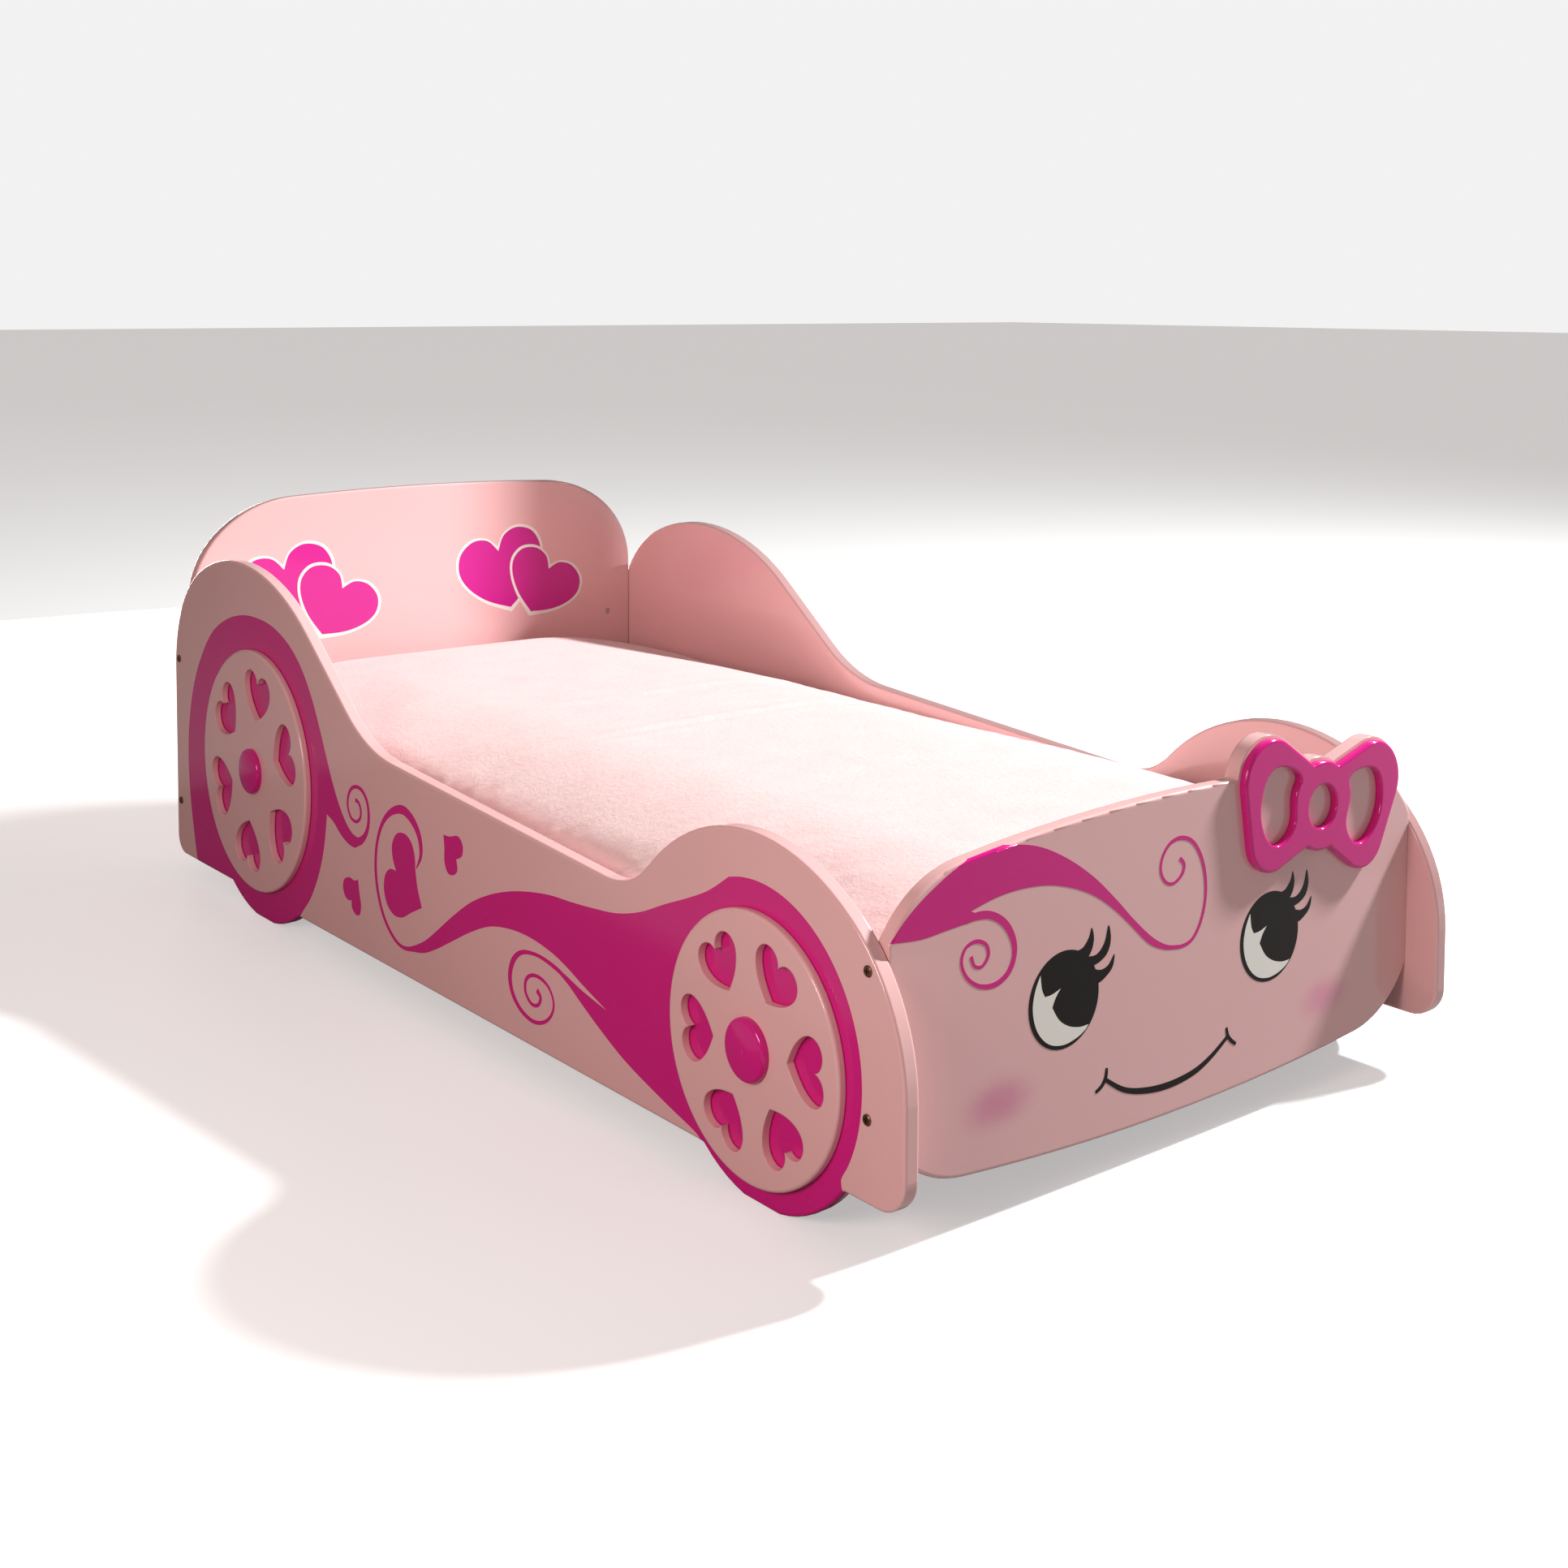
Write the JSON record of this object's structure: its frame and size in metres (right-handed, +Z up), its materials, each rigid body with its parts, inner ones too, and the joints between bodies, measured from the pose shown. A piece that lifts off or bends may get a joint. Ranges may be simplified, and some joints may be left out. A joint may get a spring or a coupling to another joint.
{
  "type": "toddler bed",
  "caption": "Low child's bed shaped as a little car: lacquered board sides with turning heart-cut wheel discs, a face panel with a bow, a headboard, slats and a lift-out mattress.",
  "frame": {"origin": "centre of the footprint, on the floor the bed stands on", "axes": "+Z up, -Y towards the face panel, +X across the bed"},
  "size_m": [0.7796, 1.501, 0.512],
  "materials": {
    "pink_lacquer": "wood board with a glossy lacquer skin",
    "magenta_lacquer": "glossy lacquer",
    "bronze_steel": "bronzed steel screw heads",
    "zinc_steel": "zinc plated",
    "spacer_plastic": "thin sliding washer",
    "webbing": "woven tape",
    "pale_wood": "planed pale softwood",
    "foam": "foam core in a knitted cover",
    "fleece": "short pale pink fleece"
  },
  "bodies": {
    "bed_frame": {"axle_sleeves": "zinc_steel", "barrel_nuts": "zinc_steel", "bearer_rail_left": "pale_wood", "bearer_rail_right": "pale_wood", "bow": "magenta_lacquer", "bow_screws": "zinc_steel", "corner_bolts": "bronze_steel", "corner_dowels": "pale_wood", "footboard": "pink_lacquer", "headboard": "pink_lacquer", "hub_screws": "zinc_steel", "rail_screws": "zinc_steel", "side_panel_left": "pink_lacquer", "side_panel_right": "pink_lacquer", "slat_01": "pale_wood", "slat_02": "pale_wood", "slat_03": "pale_wood", "slat_04": "pale_wood", "slat_05": "pale_wood", "slat_06": "pale_wood", "slat_07": "pale_wood", "slat_08": "pale_wood", "slat_09": "pale_wood", "slat_10": "pale_wood", "slat_11": "pale_wood", "slat_12": "pale_wood", "slat_13": "pale_wood", "slat_tape_left": "webbing", "slat_tape_right": "webbing", "wheel_spacers": "spacer_plastic"},
    "mattress_set": {"mattress": "foam", "fitted_sheet": "fleece"},
    "wheel_front_left": {"wheel_disc_front_left": "pink_lacquer", "hub_cap_front_left": "magenta_lacquer"},
    "wheel_front_right": {"wheel_disc_front_right": "pink_lacquer", "hub_cap_front_right": "magenta_lacquer"},
    "wheel_rear_left": {"wheel_disc_rear_left": "pink_lacquer", "hub_cap_rear_left": "magenta_lacquer"},
    "wheel_rear_right": {"wheel_disc_rear_right": "pink_lacquer", "hub_cap_rear_right": "magenta_lacquer"}
  },
  "joints": [
    {"name": "mattress_lift", "type": "slide", "parent": "bed_frame", "child": "mattress_set", "axis": [0, 0, 1], "range_m": [0, 0.35]},
    {"name": "wheel_front_left_spin", "type": "hinge", "parent": "bed_frame", "child": "wheel_front_left", "pos_m": [-0.3768, -0.5565, 0.139], "axis": [1, 0, 0], "continuous": true},
    {"name": "wheel_front_right_spin", "type": "hinge", "parent": "bed_frame", "child": "wheel_front_right", "pos_m": [0.3768, -0.5565, 0.139], "axis": [1, 0, 0], "continuous": true},
    {"name": "wheel_rear_left_spin", "type": "hinge", "parent": "bed_frame", "child": "wheel_rear_left", "pos_m": [-0.3768, 0.4805, 0.189], "axis": [1, 0, 0], "continuous": true},
    {"name": "wheel_rear_right_spin", "type": "hinge", "parent": "bed_frame", "child": "wheel_rear_right", "pos_m": [0.3768, 0.4805, 0.189], "axis": [1, 0, 0], "continuous": true}
  ]
}
